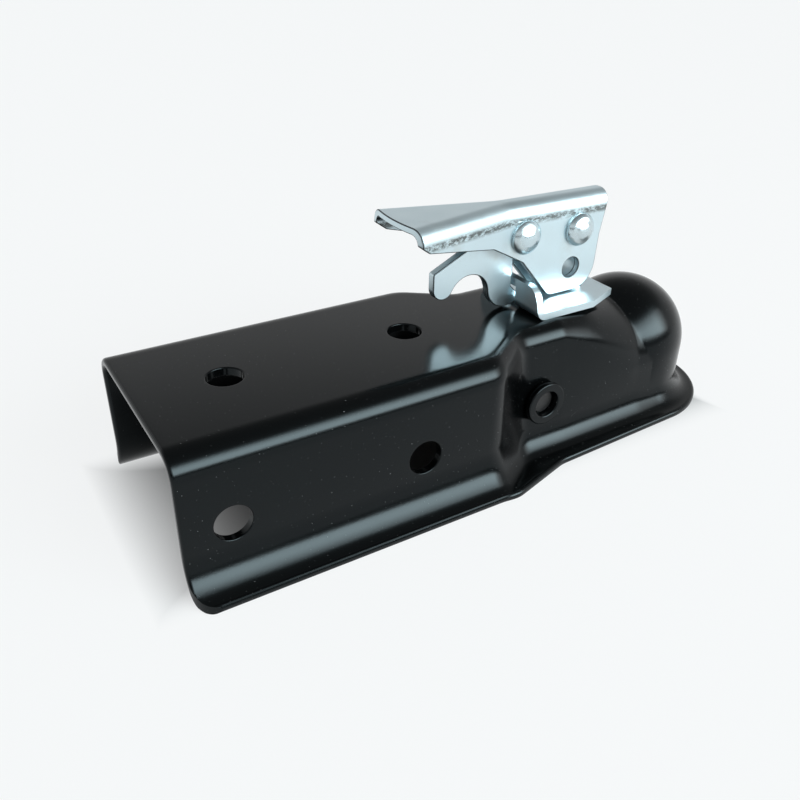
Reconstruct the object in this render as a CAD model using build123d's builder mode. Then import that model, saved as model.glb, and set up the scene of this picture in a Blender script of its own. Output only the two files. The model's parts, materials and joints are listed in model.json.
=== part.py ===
"""Trailer coupling head: a pressed housing with a ball dome, closed by a lever with a squeeze trigger.

Millimetres. The origin is the centre of the tow ball when coupled, +X points towards the towing
vehicle, +Y to the left and +Z up. Heights named "..._height" are above the flange's underside.
"""

from build123d import *
from math import asin, atan2, cos, hypot, radians, sin, tan
import os

# Ball and sheet
ball_diameter = 50.8
ball_clearance = 0.6
sheet = 3.4
ball_height = 26.5

# Channel that goes over the trailer's tongue
channel_inside = 76.2
channel_height = 56.4
rear_reach = 227.0
bend_radius = 9.0
jog_start = -100.0
jog_end = -82.0
jog_radius = 7.0
neck_width = 61.0

# Neck between the channel and the dome
neck_start = -78.0
shoulder_full = -62.0
neck_shoulder = 13.0
seat_end = -41.0
seat_end_width = 60.2
seat_end_shoulder = 20.0
arch_x = -15.0
saddle_inset = 0.2
saddle_drop = 7.5
arch_flat = 0.3

# Flange
flange_reach = 10.6
flange_corner = 10.0
flange_jog_start = -96.0
flange_jog_end = -67.0
flange_neck_width = 86.6
flange_jog_radius = 14.0
flare_radius = 8.0

# Holes for the tongue bolts
bolt_hole = 13.5
bolt_spacing = 74.0
top_hole_from_rear = 33.5
side_hole_from_rear = 17.9
side_hole_height = 26.5

# Cross pin that carries the ball clamp, and the bushes that hold it
pin_x = -70.5
pin_height = 25.5
pin_diameter = 11.0
pin_recess = 3.0
bush_flange_diameter = 18.6
bush_flange = 2.6
bush_wall = 1.8
bush_edge = 0.7
pin_chamfer = 0.8
clip_thickness = 1.0
clip_width = 2.6
clip_groove = 0.5
clip_mouth = 8.0

# Latch plate
plate_sheet = 3.0
plate_width = 38.6
plate_front = -22.5
plate_chamfer_length = 15.7
plate_chamfer_width = 6.3
leg_rear = -68.5
leg_height = 69.6
leg_top_width = 32.2
leg_corner = 7.0
leg_bend_radius = 4.5
leg_inner_bend = 1.2
window_width = 8.0
window_bar = 3.4
window_reach = 2.2

# Lever
pivot_x = -40.4
pivot_height = 87.0
lever_sheet = 2.6
lever_width = 13.5
lever_tail_width = 35.0
lever_bend_radius = 6.0
lever_flare_start = -36.5
lever_top_rise = 14.2
lever_pitch = 0.9
lever_foot_gap = 0.6
lever_foot_radius = 11.0
lever_heel_radius = 5.0
lever_kink_radius = 20.0
elbow_radius = 5.0
tail_corner_radius = 2.0
tail_reach = 83.0
tail_cut_length = 3.5
tail_cut_rise = 6.6
tail_end_bulge = 2.5
elbow_back = 44.5
elbow_drop = 0.7
heel_top_back = 28.0
heel_top_drop = 9.6
heel_back = 12.8
foot_front = 11.4
front_waist = 12.3
front_waist_drop = 4.2
front_top = 15.4
safety_hole = 8.7
safety_hole_back = 1.7
safety_hole_height = 70.6

# Rivets
rivet_shank = 8.0
pivot_head = 11.6
pivot_head_height = 4.9
trigger_head = 12.4
trigger_head_height = 4.4
rivet_rim = 1.2

# Trigger
trigger_sheet = 3.6
trigger_pivot_x = -68.3
trigger_pivot_height = 88.2
trigger_boss = 15.5
trigger_tail_x = -103.1
trigger_tail_height = 71.5
trigger_tail_top_height = 78.0
trigger_corner_radius = 1.0
notch_x = -90.5
notch_height = 65.3
notch_radius = 9.3
lobe_x = -71.6
lobe_height = 67.0
tooth_tip = 0.9
tooth_height = 61.2
tooth_thickness = 1.2
tooth_slope = 45.0
trigger_edge_gap = 0.8
spring_wire = 0.7
spring_turns = 1.5
spring_leg = 9.0
spring_play = 0.25
spacer_diameter = 13.0

# Draw bolt, nut and washers
bar_width = 16.0
bar_play = 0.4
eye_diameter = 18.0
bar_bottom_height = 50.0
shank_diameter = 10.0
shank_end_height = 5.6
shank_chamfer = 1.0
bar_slot_gap = 0.5
bar_hole_gap = 0.3
washer_diameter = 20.0
washer_thickness = 2.0
nut_across_flats = 17.0
nut_height = 7.0
nut_collar_diameter = 14.6
nut_collar_height = 2.4
nut_insert_diameter = 12.6

# Ball clamp and its spring
clamp_width = 36.0
clamp_top_height = 33.5
clamp_bottom_height = 21.5
clamp_hub_diameter = 19.0
clamp_hub_gap = 0.6
clamp_lip_angle = 24.0
clamp_lip_thickness = 4.0
clamp_seat_radius = 6.5
clamp_slot_length = 16.0
clamp_slot_gap = 0.6
clamp_ball_gap = 0.4
spring_bore = 19.0
spring_thickness = 2.6
clamp_spring_turns = 3.5
seat_washer = 1.6
seat_washer_bore = 13.6
seat_rim = 0.9
spring_top_gap = 0.5

# Clearances between pieces
running_gap = 0.05
face_gap = 0.1
seat_gap = 0.3

# Places that follow from the sizes above
base = -ball_height
top = base + channel_height
dome_radius = ball_diameter / 2 + ball_clearance + sheet
saddle_half = dome_radius - saddle_inset
saddle_top = dome_radius - saddle_drop
arch_top = saddle_top + (top - saddle_top) * arch_x / seat_end
arch_half = saddle_half + (seat_end_width / 2 - saddle_half) * arch_x / seat_end
channel_half = channel_inside / 2 + sheet
neck_half = neck_width / 2
flange_half = channel_half + flange_reach
nose_radius = dome_radius + flange_reach
pin_z = base + pin_height
pivot_z = base + pivot_height
trigger_pivot_z = base + trigger_pivot_height
plate_top = top + plate_sheet
leg_front = leg_rear + plate_sheet
leg_top = base + leg_height
window_top = leg_top - window_bar
lever_gap = lever_width - 2 * lever_sheet
lever_top = pivot_z + lever_top_rise
lever_floor = plate_top + lever_foot_gap
bar_thickness = lever_gap - 2 * bar_play
clamp_top = base + clamp_top_height
clamp_bottom = base + clamp_bottom_height
seat_top = clamp_top + seat_washer
shank_end = base + shank_end_height
bar_bottom = base + bar_bottom_height
washer_top = pin_z - clamp_seat_radius - seat_gap
washer_bottom = washer_top - washer_thickness
bush_face = neck_half + bush_flange
pin_half_length = bush_face - pin_recess
neck_inner_half = neck_half - sheet
clip_outer_face = neck_inner_half - face_gap
clip_inner_face = clip_outer_face - clip_thickness

os.makedirs("parts", exist_ok=True)


def cross_axis(x, z):
    """Axis across the part, through a point given in side view."""
    return Axis((x, 0, z), (0, 1, 0))


def pressed_form(inset):
    """Solid below the pressing's outer face, or below its inner face when inset by the sheet."""
    rear = -rear_reach - inset
    floor = base - inset
    rise = top - inset - floor
    wide = channel_half - inset
    narrow = neck_half - inset
    shift = inset * tan(atan2(channel_half - neck_half, jog_end - jog_start) / 2)
    neck_stations = [
        (neck_start, narrow, top - inset, bend_radius - inset),
        (shoulder_full, narrow, top - inset, neck_shoulder - inset),
        (seat_end, seat_end_width / 2 - inset, top - inset, seat_end_shoulder - inset),
        (arch_x, arch_half - inset, arch_top - inset, arch_half - arch_flat - inset),
        (0, saddle_half - inset, saddle_top - inset, saddle_half - arch_flat - inset),
    ]
    with BuildPart() as form:
        with BuildSketch(Plane.XY.offset(floor)) as plan:
            with BuildLine():
                side = Polyline(
                    (rear, 0),
                    (rear, wide),
                    (jog_start - shift, wide),
                    (jog_end - shift, narrow),
                    (neck_start, narrow),
                    (neck_start, 0),
                )
                mirror(side, about=Plane.XZ)
            make_face()
            fillet(plan.vertices().group_by(Axis.X)[1], jog_radius - inset)
            fillet(plan.vertices().group_by(Axis.X)[-2], jog_radius + inset)
        extrude(amount=rise)
        roof = form.faces().sort_by(Axis.Z)[-1]
        fillet(roof.edges().filter_by(Axis.Y, reverse=True), bend_radius - inset)
        for x, half, roof_z, shoulder in neck_stations:
            with BuildSketch(Plane.YZ.offset(x)) as section:
                with BuildLine():
                    Polyline((-half, floor), (-half, roof_z), (half, roof_z), (half, floor), close=True)
                make_face()
                fillet(section.vertices().group_by(Axis.Y)[-1], shoulder)
        loft(ruled=True)
        radius = dome_radius - inset
        with BuildSketch(Plane.XZ):
            with BuildLine():
                Line((0, floor), (radius, floor))
                Line((radius, floor), (radius, 0))
                RadiusArc((radius, 0), (0, radius), -radius)
                Line((0, radius), (0, floor))
            make_face()
        revolve(axis=Axis.Z)
    return form.part


# Housing: one pressing with a flange all round, open at the back
outer_form = pressed_form(0)

with BuildPart() as flange:
    with BuildSketch(Plane.XY.offset(base)) as outline:
        with BuildLine():
            edge = Polyline(
                (-rear_reach, 0),
                (-rear_reach, flange_half),
                (flange_jog_start, flange_half),
                (flange_jog_end, flange_neck_width / 2),
                (0, nose_radius),
                (0, 0),
            )
            mirror(edge, about=Plane.XZ)
        make_face()
        fillet(outline.vertices().group_by(Axis.X)[1], flange_jog_radius)
        fillet(outline.vertices().group_by(Axis.X)[-2], flange_jog_radius)
        Circle(nose_radius)
    extrude(amount=sheet)

with BuildPart() as housing:
    add(outer_form)
    add(flange.part)
    corner = new_edges(outer_form, flange.part, combined=housing.part)
    fillet(corner.filter_by_position(Axis.Z, base + sheet, base + sheet), flare_radius)
    add(pressed_form(sheet), mode=Mode.SUBTRACT)
    mouth = housing.edges(Select.NEW).filter_by_position(Axis.Z, base, base)
    fillet(mouth, flare_radius + sheet)
    # Rounded rear corners of the flange
    with BuildSketch(Plane.XY.offset(base)):
        with Locations((-rear_reach, flange_half), (-rear_reach, -flange_half)):
            Rectangle(2 * flange_corner, 2 * flange_corner)
        with Locations(
            (-rear_reach + flange_corner, flange_half - flange_corner),
            (-rear_reach + flange_corner, flange_corner - flange_half),
        ):
            Circle(flange_corner, mode=Mode.SUBTRACT)
    extrude(amount=flare_radius + sheet, mode=Mode.SUBTRACT)
    # Bolt holes in the top and through both walls
    with BuildSketch(Plane.XY.offset(top)):
        with Locations((-rear_reach + top_hole_from_rear, 0)):
            with Locations((0, 0), (bolt_spacing, 0)):
                Circle(bolt_hole / 2)
        with Locations((pivot_x, 0)):
            Rectangle(bar_width + 2 * bar_slot_gap, bar_thickness + 2 * bar_slot_gap)
    extrude(amount=-2 * sheet, mode=Mode.SUBTRACT)
    with BuildSketch(Plane.XZ):
        with Locations((-rear_reach + side_hole_from_rear, base + side_hole_height)):
            with Locations((0, 0), (bolt_spacing, 0)):
                Circle(bolt_hole / 2)
        with Locations((pin_x, pin_z)):
            Circle(pin_diameter / 2 + bush_wall + running_gap)
    extrude(amount=channel_half, both=True, mode=Mode.SUBTRACT)
housing.part.label = "housing"
export_step(housing.part, "parts/housing.step")


# Bushes in the neck's walls
def pin_bush(side):
    """Flanged bush in one wall of the neck: side is 1 on the left and -1 on the right."""
    bore = pin_diameter / 2 + running_gap
    sleeve = pin_diameter / 2 + bush_wall
    rim = bush_flange_diameter / 2
    with BuildPart() as bush:
        with BuildSketch(Plane.YZ.offset(pin_x)) as section:
            with BuildLine():
                Polyline(
                    (side * neck_inner_half, pin_z + bore),
                    (side * neck_inner_half, pin_z + sleeve),
                    (side * neck_half, pin_z + sleeve),
                    (side * neck_half, pin_z + rim),
                    (side * bush_face, pin_z + rim),
                    (side * bush_face, pin_z + bore),
                    close=True,
                )
            make_face()
            outer_corner = section.vertices().sort_by_distance((side * bush_face, pin_z + rim))[0]
            fillet(outer_corner, bush_edge)
        revolve(axis=cross_axis(pin_x, pin_z))
    return bush.part


left_pin_bush = pin_bush(1)
left_pin_bush.label = "left_pin_bush"
export_step(left_pin_bush, "parts/left_pin_bush.step")

right_pin_bush = pin_bush(-1)
right_pin_bush.label = "right_pin_bush"
export_step(right_pin_bush, "parts/right_pin_bush.step")


# Cross pin with a groove for a retaining ring at each end
with BuildPart() as clamp_pin:
    with BuildSketch(Plane.XZ):
        with Locations((pin_x, pin_z)):
            Circle(pin_diameter / 2)
    extrude(amount=pin_half_length, both=True)
    chamfer(clamp_pin.edges().filter_by(GeomType.CIRCLE), pin_chamfer)
    for groove_plane in (Plane.XZ.offset(clip_inner_face), Plane.XZ.offset(-clip_outer_face)):
        with BuildSketch(groove_plane):
            with Locations((pin_x, pin_z)):
                Circle(pin_diameter)
                Circle(pin_diameter / 2 - clip_groove, mode=Mode.SUBTRACT)
        extrude(amount=clip_thickness, mode=Mode.SUBTRACT)
clamp_pin.part.label = "clamp_pin"
export_step(clamp_pin.part, "parts/clamp_pin.step")


def pin_clip(face):
    """Open retaining ring in one groove of the cross pin, from the given face towards -Y."""
    with BuildPart() as clip:
        with BuildSketch(Plane.XZ.offset(face)):
            with Locations((pin_x, pin_z)):
                Circle(pin_diameter / 2 + clip_width)
                Circle(pin_diameter / 2 - clip_groove + running_gap, mode=Mode.SUBTRACT)
                with Locations((0, -pin_diameter)):
                    Rectangle(clip_mouth, 2 * pin_diameter, mode=Mode.SUBTRACT)
        extrude(amount=clip_thickness)
    return clip.part


left_pin_clip = pin_clip(-clip_outer_face)
left_pin_clip.label = "left_pin_clip"
export_step(left_pin_clip, "parts/left_pin_clip.step")

right_pin_clip = pin_clip(clip_inner_face)
right_pin_clip.label = "right_pin_clip"
export_step(right_pin_clip, "parts/right_pin_clip.step")


# Ball clamp: turns on the cross pin, and its lip closes under the ball
ball_face = ball_diameter / 2 + clamp_ball_gap
lip = radians(clamp_lip_angle)
lip_tip = (-ball_face * cos(lip), -ball_face * sin(lip))
lip_back = (lip_tip[0] - clamp_lip_thickness * cos(lip), lip_tip[1] - clamp_lip_thickness * sin(lip))
with BuildPart() as ball_clamp:
    with BuildSketch(Plane.XZ):
        with BuildLine():
            Polyline(
                (pin_x, clamp_top),
                (0, clamp_top),
                (0, lip_tip[1]),
                lip_tip,
                lip_back,
                (lip_back[0], clamp_bottom),
                (pin_x, clamp_bottom),
                close=True,
            )
        make_face()
    extrude(amount=clamp_width / 2, both=True)
    with BuildSketch(Plane.XZ):
        with Locations((pivot_x, pin_z)):
            Circle(clamp_seat_radius)
    extrude(amount=washer_diameter / 2, both=True)
    with BuildSketch(Plane.XZ):
        with Locations((pin_x, pin_z)):
            Circle(clamp_hub_diameter / 2)
    extrude(amount=clip_inner_face - clamp_hub_gap, both=True)
    with Locations((0, 0, 0)):
        Sphere(ball_face, mode=Mode.SUBTRACT)
    with BuildSketch(Plane.XY.offset(clamp_top)):
        with Locations((pivot_x, 0)):
            SlotOverall(clamp_slot_length, shank_diameter + 2 * clamp_slot_gap)
    extrude(amount=base - top, mode=Mode.SUBTRACT)
    with BuildSketch(Plane.XZ):
        with Locations((pin_x, pin_z)):
            Circle(pin_diameter / 2 + running_gap)
    extrude(amount=neck_half, both=True, mode=Mode.SUBTRACT)
ball_clamp.part.label = "ball_clamp"
export_step(ball_clamp.part, "parts/ball_clamp.step")


# Washer between the spring and the clamp
with BuildPart() as spring_seat:
    with BuildSketch(Plane.XY.offset(clamp_top)):
        with Locations((pivot_x, 0)):
            Circle(spring_bore / 2 + spring_thickness + seat_rim)
            Circle(seat_washer_bore / 2, mode=Mode.SUBTRACT)
    extrude(amount=seat_washer)
spring_seat.part.label = "spring_seat"
export_step(spring_seat.part, "parts/spring_seat.step")


# Compression spring between that washer and the underside of the housing's top
spring_low = seat_top + spring_thickness / 2 + face_gap
spring_high = top - sheet - spring_thickness / 2 - spring_top_gap
spring_radius = (spring_bore + spring_thickness) / 2
with BuildPart() as clamp_spring:
    with BuildLine():
        coil = Helix(
            pitch=(spring_high - spring_low) / clamp_spring_turns,
            height=spring_high - spring_low,
            radius=spring_radius,
            center=(pivot_x, 0, spring_low),
        )
    with BuildSketch(Plane(coil @ 0, z_dir=coil % 0)):
        Circle(spring_thickness / 2)
    sweep(is_frenet=True)
clamp_spring.part.label = "clamp_spring"
export_step(clamp_spring.part, "parts/clamp_spring.step")


# Draw bolt: a flat eye on the lever's rivet, a bar through the housing's slot and a threaded shank
with BuildPart() as draw_bolt:
    with BuildSketch(Plane.XZ):
        with Locations((pivot_x, pivot_z)):
            Circle(eye_diameter / 2)
        with Locations((pivot_x, (pivot_z + bar_bottom) / 2)):
            Rectangle(bar_width, pivot_z - bar_bottom)
        with Locations((pivot_x, pivot_z)):
            Circle(rivet_shank / 2 + running_gap, mode=Mode.SUBTRACT)
        with Locations((pivot_x - safety_hole_back, base + safety_hole_height)):
            Circle(safety_hole / 2 + bar_hole_gap, mode=Mode.SUBTRACT)
    extrude(amount=bar_thickness / 2, both=True)
    with BuildSketch(Plane.XY.offset(shank_end)):
        with Locations((pivot_x, 0)):
            Circle(shank_diameter / 2)
    extrude(amount=bar_bottom - shank_end)
    chamfer(draw_bolt.faces().sort_by(Axis.Z)[0].edges(), shank_chamfer)
draw_bolt.part.label = "draw_bolt"
export_step(draw_bolt.part, "parts/draw_bolt.step")


# Washer and locking nut under the clamp
with BuildPart() as clamp_washer:
    with BuildSketch(Plane.XY.offset(washer_bottom)):
        with Locations((pivot_x, 0)):
            Circle(washer_diameter / 2)
            Circle(shank_diameter / 2 + seat_gap, mode=Mode.SUBTRACT)
    extrude(amount=washer_thickness)
clamp_washer.part.label = "clamp_washer"
export_step(clamp_washer.part, "parts/clamp_washer.step")

nut_end = washer_bottom - nut_height
with BuildPart() as lock_nut:
    with BuildSketch(Plane.XY.offset(nut_end)):
        with Locations((pivot_x, 0)):
            RegularPolygon(nut_across_flats / 2, 6, major_radius=False)
    extrude(amount=nut_height)
    with BuildSketch(Plane.XY.offset(nut_end)):
        with Locations((pivot_x, 0)):
            Circle(nut_collar_diameter / 2)
    extrude(amount=-nut_collar_height)
    with BuildSketch(Plane.XY.offset(nut_end)):
        with Locations((pivot_x, 0)):
            Circle(nut_insert_diameter / 2)
    extrude(amount=-nut_collar_height, mode=Mode.SUBTRACT)
    with BuildSketch(Plane.XY.offset(nut_end)):
        with Locations((pivot_x, 0)):
            Circle(shank_diameter / 2 + running_gap)
    extrude(amount=nut_height, mode=Mode.SUBTRACT)
lock_nut.part.label = "lock_nut"
export_step(lock_nut.part, "parts/lock_nut.step")

with BuildPart() as lock_nut_insert:
    with BuildSketch(Plane.XY.offset(nut_end)):
        with Locations((pivot_x, 0)):
            Circle(nut_insert_diameter / 2 - running_gap)
            Circle(shank_diameter / 2 + running_gap, mode=Mode.SUBTRACT)
    extrude(amount=-nut_collar_height)
lock_nut_insert.part.label = "lock_nut_insert"
export_step(lock_nut_insert.part, "parts/lock_nut_insert.step")


# Latch plate: lies on the neck's seat, with an upright leg that catches the trigger's tooth
with BuildPart() as latch_plate:
    with BuildSketch(Plane.XZ) as section:
        with BuildLine():
            Polyline(
                (leg_rear, leg_top),
                (leg_rear, top),
                (plate_front, top),
                (plate_front, plate_top),
                (leg_front, plate_top),
                (leg_front, leg_top),
                close=True,
            )
        make_face()
        fillet(section.vertices().sort_by_distance((leg_rear, top))[0], leg_bend_radius)
        fillet(section.vertices().sort_by_distance((leg_front, plate_top))[0], leg_inner_bend)
    extrude(amount=plate_width / 2, both=True)
    with BuildSketch(Plane.YZ.offset(leg_rear)) as outline:
        with BuildLine():
            half_leg = Polyline(
                (0, top),
                (plate_width / 2, top),
                (plate_width / 2, plate_top),
                (leg_top_width / 2, leg_top),
                (0, leg_top),
            )
            mirror(half_leg, about=Plane.YZ)
        make_face()
        fillet(outline.vertices().group_by(Axis.Y)[-1], leg_corner)
    extrude(amount=plate_front - leg_rear, mode=Mode.INTERSECT)
    with BuildSketch(Plane.XY.offset(top)):
        with BuildLine():
            half_foot = Polyline(
                (leg_rear, 0),
                (leg_rear, plate_width / 2),
                (plate_front - plate_chamfer_length, plate_width / 2),
                (plate_front, plate_width / 2 - plate_chamfer_width),
                (plate_front, 0),
            )
            mirror(half_foot, about=Plane.XZ)
        make_face()
    extrude(amount=leg_top - top, mode=Mode.INTERSECT)
    with BuildSketch(Plane.YZ.offset(leg_rear)):
        with Locations((0, (top + window_top) / 2)):
            Rectangle(window_width, window_top - top)
    extrude(amount=plate_sheet + window_reach, mode=Mode.SUBTRACT)
    with BuildSketch(Plane.XY.offset(top)):
        with Locations((pivot_x, 0)):
            Rectangle(bar_width + 2 * bar_slot_gap, bar_thickness + 2 * bar_slot_gap)
    extrude(amount=plate_sheet, mode=Mode.SUBTRACT)
latch_plate.part.label = "latch_plate"
export_step(latch_plate.part, "parts/latch_plate.step")


# Lever: one folded sheet, open below, that flares towards its tail
def lever_form(inset):
    """Solid below the folded lever's outer face, or below its inner face when inset by the sheet."""
    nose = pivot_x + front_top + inset
    tail = pivot_x - tail_reach - inset
    half = lever_width / 2 - inset
    tail_half = lever_tail_width / 2 - inset
    with BuildPart() as form:
        with BuildSketch(Plane.XY.offset(plate_top)) as plan:
            with BuildLine():
                side = Polyline(
                    (nose, 0),
                    (nose, half),
                    (pivot_x + lever_flare_start, half),
                    (tail, tail_half),
                )
                mirror(side, about=Plane.XZ)
                ThreePointArc((tail, tail_half), (tail - tail_end_bulge, 0), (tail, -tail_half))
            make_face()
            kinks = plan.vertices().group_by(Axis.X)[-2]
            fillet(kinks, lever_kink_radius + inset)
        extrude(amount=lever_top - inset - plate_top)
        roof = form.faces().sort_by(Axis.Z)[-1]
        folds = roof.edges().filter_by(Axis.Y, reverse=True).sort_by(Axis.X)[1:]
        fillet(folds, lever_bend_radius - inset)
    return form.part.rotate(cross_axis(pivot_x, pivot_z), lever_pitch)


safety_hole_spot = (pivot_x - safety_hole_back, base + safety_hole_height)
tail_end = pivot_x - tail_reach - 2 * tail_end_bulge
tail_top = lever_top + tail_reach * tan(radians(lever_pitch))
tail_corner = (pivot_x - tail_reach + tail_cut_length, pivot_z + tail_cut_rise)
elbow = (pivot_x - elbow_back, pivot_z - elbow_drop)
heel = (pivot_x - heel_back, lever_floor)
foot = (pivot_x + foot_front, lever_floor)
with BuildPart() as lever:
    add(lever_form(0))
    add(lever_form(lever_sheet), mode=Mode.SUBTRACT)
    with BuildSketch(Plane.XZ) as profile:
        with BuildLine():
            Polyline(
                (tail_end, tail_top + lever_sheet),
                (tail_end, tail_top - lever_sheet),
                tail_corner,
                elbow,
                (pivot_x - heel_top_back, pivot_z - heel_top_drop),
                heel,
                foot,
                (pivot_x + front_waist, pivot_z - front_waist_drop),
                (pivot_x + front_top, lever_top),
                close=True,
            )
        make_face()
        fillet(profile.vertices().sort_by_distance(tail_corner)[0], tail_corner_radius)
        fillet(profile.vertices().sort_by_distance(elbow)[0], elbow_radius)
        fillet(profile.vertices().sort_by_distance(heel)[0], lever_heel_radius)
        fillet(profile.vertices().sort_by_distance(foot)[0], lever_foot_radius)
    extrude(amount=lever_tail_width, both=True, mode=Mode.INTERSECT)
    with BuildSketch(Plane.XZ):
        with Locations((pivot_x, pivot_z), (trigger_pivot_x, trigger_pivot_z)):
            Circle(rivet_shank / 2 + running_gap)
        with Locations(safety_hole_spot):
            Circle(safety_hole / 2)
    extrude(amount=lever_tail_width, both=True, mode=Mode.SUBTRACT)
lever.part.label = "lever"
export_step(lever.part, "parts/lever.step")


# Rivets with a domed head on each side of the lever
def lever_rivet(x, z, head, head_height):
    """Rivet across the lever, with its two heads already formed."""
    seat = lever_width / 2
    with BuildPart() as rivet:
        with BuildSketch(Plane.YZ.offset(x)):
            with BuildLine():
                Line((0, z), (0, z + rivet_shank / 2))
                Polyline(
                    (0, z + rivet_shank / 2),
                    (seat, z + rivet_shank / 2),
                    (seat, z + head / 2),
                    (seat + rivet_rim, z + head / 2),
                )
                TangentArc((seat + head_height, z), (seat + rivet_rim, z + head / 2), tangent=(0, 1))
                Line((seat + head_height, z), (0, z))
            make_face()
        revolve(axis=cross_axis(x, z))
        mirror(about=Plane.XZ)
    return rivet.part


pivot_rivet = lever_rivet(pivot_x, pivot_z, pivot_head, pivot_head_height)
pivot_rivet.label = "pivot_rivet"
export_step(pivot_rivet, "parts/pivot_rivet.step")

trigger_rivet = lever_rivet(trigger_pivot_x, trigger_pivot_z, trigger_head, trigger_head_height)
trigger_rivet.label = "trigger_rivet"
export_step(trigger_rivet, "parts/trigger_rivet.step")


# Trigger: one flat plate with a finger notch behind and a tooth in the latch plate's window
trigger_edge = leg_rear - trigger_edge_gap
tip_x = leg_front + tooth_tip
tip_top = base + tooth_height
tip_bottom = tip_top - tooth_thickness
notch_z = base + notch_height
lobe_z = base + lobe_height
trigger_tail_z = base + trigger_tail_height
lobe_turn = atan2(lobe_z - notch_z, lobe_x - notch_x)
tail_turn = atan2(trigger_tail_z - notch_z, trigger_tail_x - notch_x)
lobe_radius = hypot(lobe_x - notch_x, lobe_z - notch_z) - notch_radius
trigger_tail_radius = hypot(trigger_tail_x - notch_x, trigger_tail_z - notch_z) - notch_radius
tail_back = trigger_tail_x - trigger_tail_radius
lobe_end = (notch_x + notch_radius * cos(lobe_turn), notch_z + notch_radius * sin(lobe_turn))
notch_end = (notch_x + notch_radius * cos(tail_turn), notch_z + notch_radius * sin(tail_turn))
trigger_corner = (tail_back, base + trigger_tail_top_height)
boss_reach = hypot(trigger_pivot_x - trigger_corner[0], trigger_pivot_z - trigger_corner[1])
boss_turn = atan2(trigger_pivot_z - trigger_corner[1], trigger_pivot_x - trigger_corner[0])
upper_slope = boss_turn + asin(trigger_boss / 2 / boss_reach)
boss_touch = (
    trigger_pivot_x - trigger_boss / 2 * sin(upper_slope),
    trigger_pivot_z + trigger_boss / 2 * cos(upper_slope),
)
with BuildPart() as trigger:
    with BuildSketch(Plane.XZ) as profile:
        with BuildLine():
            Polyline(
                (tail_back, trigger_tail_z),
                trigger_corner,
                boss_touch,
                (trigger_edge, trigger_pivot_z),
                (trigger_edge, tip_top + (tip_x - trigger_edge) * tan(radians(tooth_slope))),
                (tip_x, tip_top),
                (tip_x, tip_bottom),
            )
            ThreePointArc((tip_x, tip_bottom), (lobe_x, lobe_z - lobe_radius), lobe_end)
            ThreePointArc(lobe_end, (notch_x, notch_z + notch_radius), notch_end)
            tail_low = (trigger_tail_x, trigger_tail_z - trigger_tail_radius)
            ThreePointArc(notch_end, tail_low, (tail_back, trigger_tail_z))
        make_face()
        with Locations((trigger_pivot_x, trigger_pivot_z)):
            Circle(trigger_boss / 2)
            Circle(rivet_shank / 2 + running_gap, mode=Mode.SUBTRACT)
        fillet(profile.vertices().sort_by_distance(trigger_corner)[0], trigger_corner_radius)
    extrude(amount=trigger_sheet / 2, both=True)
trigger.part.label = "trigger"
export_step(trigger.part, "parts/trigger.step")


# Washer and torsion spring beside the trigger, on its rivet
with BuildPart() as trigger_spacer:
    with BuildSketch(Plane.XZ.offset(trigger_sheet / 2 + face_gap)):
        with Locations((trigger_pivot_x, trigger_pivot_z)):
            Circle(spacer_diameter / 2)
            Circle(rivet_shank / 2 + running_gap, mode=Mode.SUBTRACT)
    extrude(amount=(lever_gap - trigger_sheet) / 2 - 2 * face_gap)
trigger_spacer.part.label = "trigger_spacer"
export_step(trigger_spacer.part, "parts/trigger_spacer.step")

coil_start = trigger_sheet / 2 + spring_play + spring_wire / 2
coil_end = lever_gap / 2 - spring_play - spring_wire / 2
with BuildPart() as trigger_spring:
    with BuildLine():
        winding = Helix(
            pitch=(coil_end - coil_start) / spring_turns,
            height=coil_end - coil_start,
            radius=rivet_shank / 2 + seat_gap + spring_wire / 2,
            center=(trigger_pivot_x, coil_start, trigger_pivot_z),
            direction=(0, 1, 0),
        )
    with BuildSketch(Plane(winding @ 0, z_dir=winding % 0)):
        Circle(spring_wire / 2)
    sweep(is_frenet=True)
    for place, heading in ((winding @ 0, -(winding % 0)), (winding @ 1, winding % 1)):
        with BuildSketch(Plane(place, z_dir=(heading.X, 0, heading.Z))):
            Circle(spring_wire / 2)
        extrude(amount=spring_leg)
trigger_spring.part.label = "trigger_spring"
export_step(trigger_spring.part, "parts/trigger_spring.step")
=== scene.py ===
"""Looks of a trailer coupling head: its pressed housing, its lever with a squeeze trigger, and their finishes.

Metres. The origin is the centre of the tow ball, +X points forward, +Y to the left and +Z up.
"""

import json
import math

import bmesh
import bpy
from bpy.props import FloatProperty, FloatVectorProperty, PointerProperty
from mathutils import Matrix, Vector

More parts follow.
